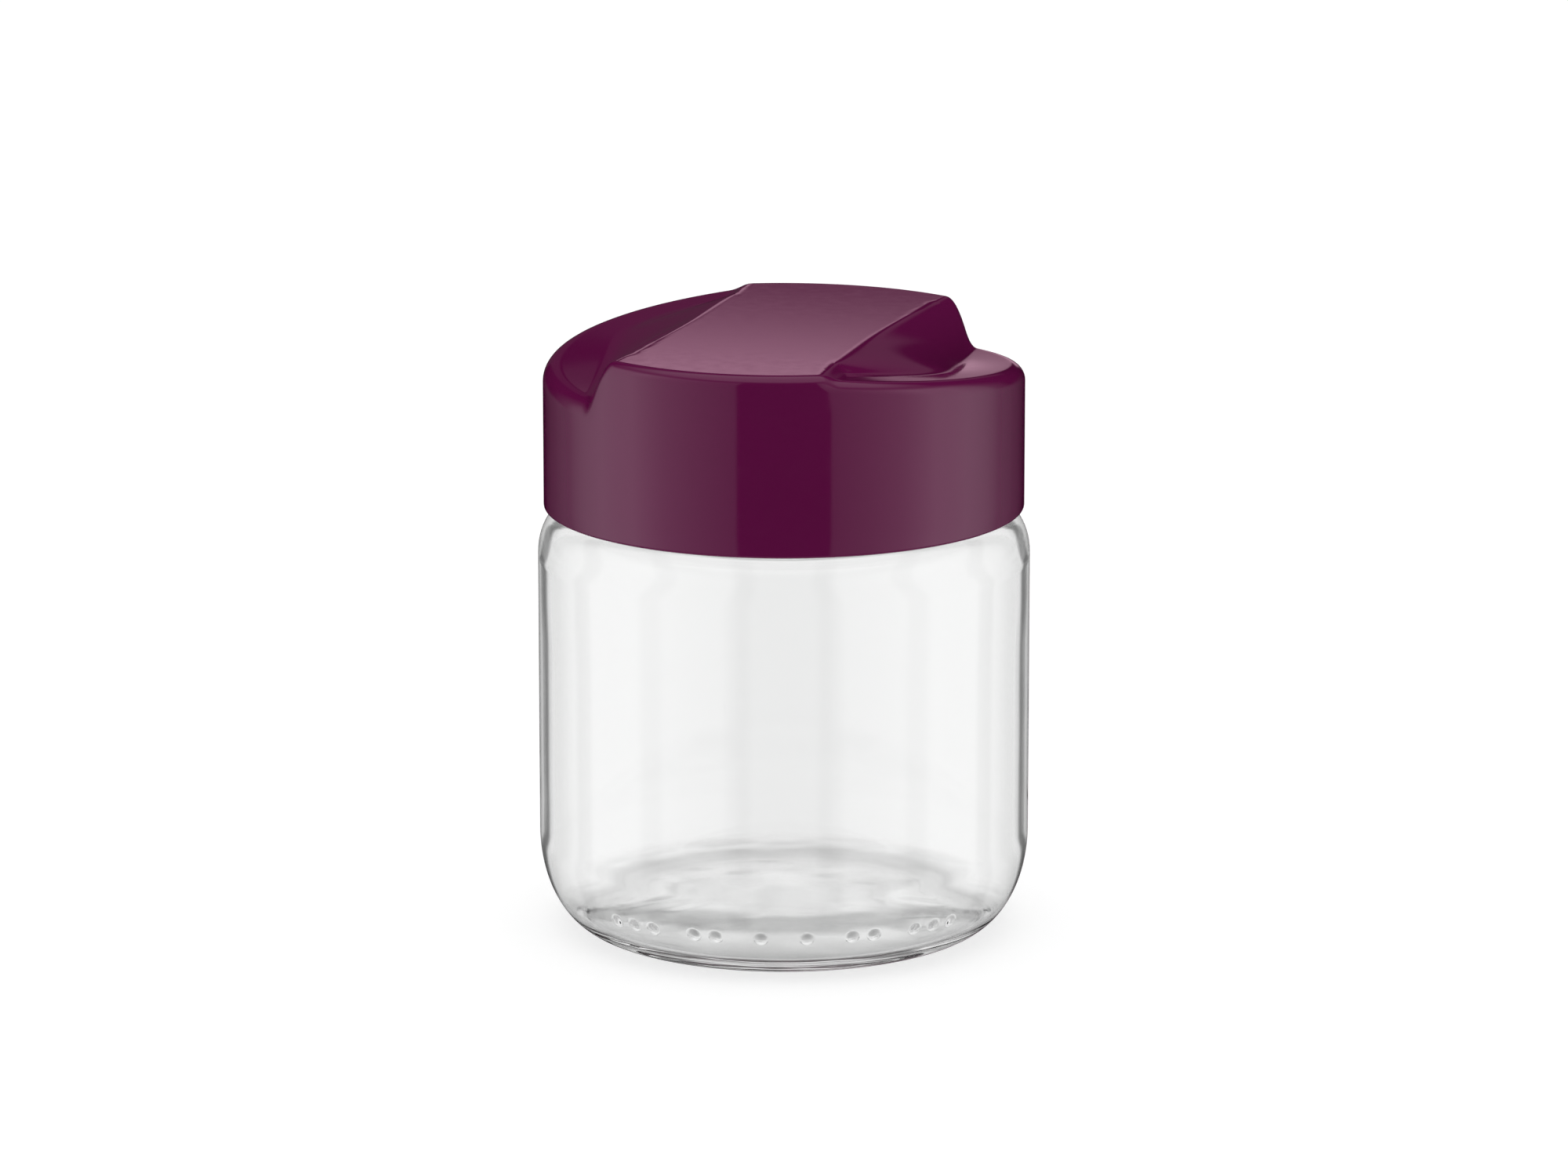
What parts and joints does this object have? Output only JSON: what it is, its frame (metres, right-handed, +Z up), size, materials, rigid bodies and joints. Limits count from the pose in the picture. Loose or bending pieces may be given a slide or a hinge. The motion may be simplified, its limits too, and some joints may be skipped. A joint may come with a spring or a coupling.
{
  "type": "glass storage jar with screw lid",
  "caption": "Wide-mouth clear glass storage jar with a glossy plum plastic screw lid whose top is moulded into a twist grip with two ramped finger ledges.",
  "frame": {"origin": "centre of the ring that the jar stands on, at the level of the table", "axes": "+Z up along the jar's axis; the picture looks along +Y with +X to the right"},
  "size_m": [0.0864, 0.0864, 0.1074],
  "materials": {
    "clear_glass": "clear, fire-polished",
    "seal": "soft matt silicone",
    "plate_plastic": "satin moulded",
    "lid_plastic": "high gloss moulded"
  },
  "bodies": {
    "jar": {"glass_jar": "clear_glass"},
    "seal": {"seal_ring": "seal"},
    "lid": {"lid_shell": "lid_plastic", "inner_plate": "plate_plastic"}
  },
  "joints": [
    {"name": "lid_rise", "type": "slide", "parent": "jar", "child": "seal", "axis": [0, 0, 1], "range_m": [0, 0.018]},
    {"name": "lid_turn", "type": "hinge", "parent": "seal", "child": "lid", "pos_m": [0, 0, 0.085], "axis": [0, 0, 1], "range_deg": [0, 720]}
  ],
  "couplings": [
    {"joint": "lid_rise", "follows": "lid_turn", "m_per_rad": 0.001432}
  ]
}
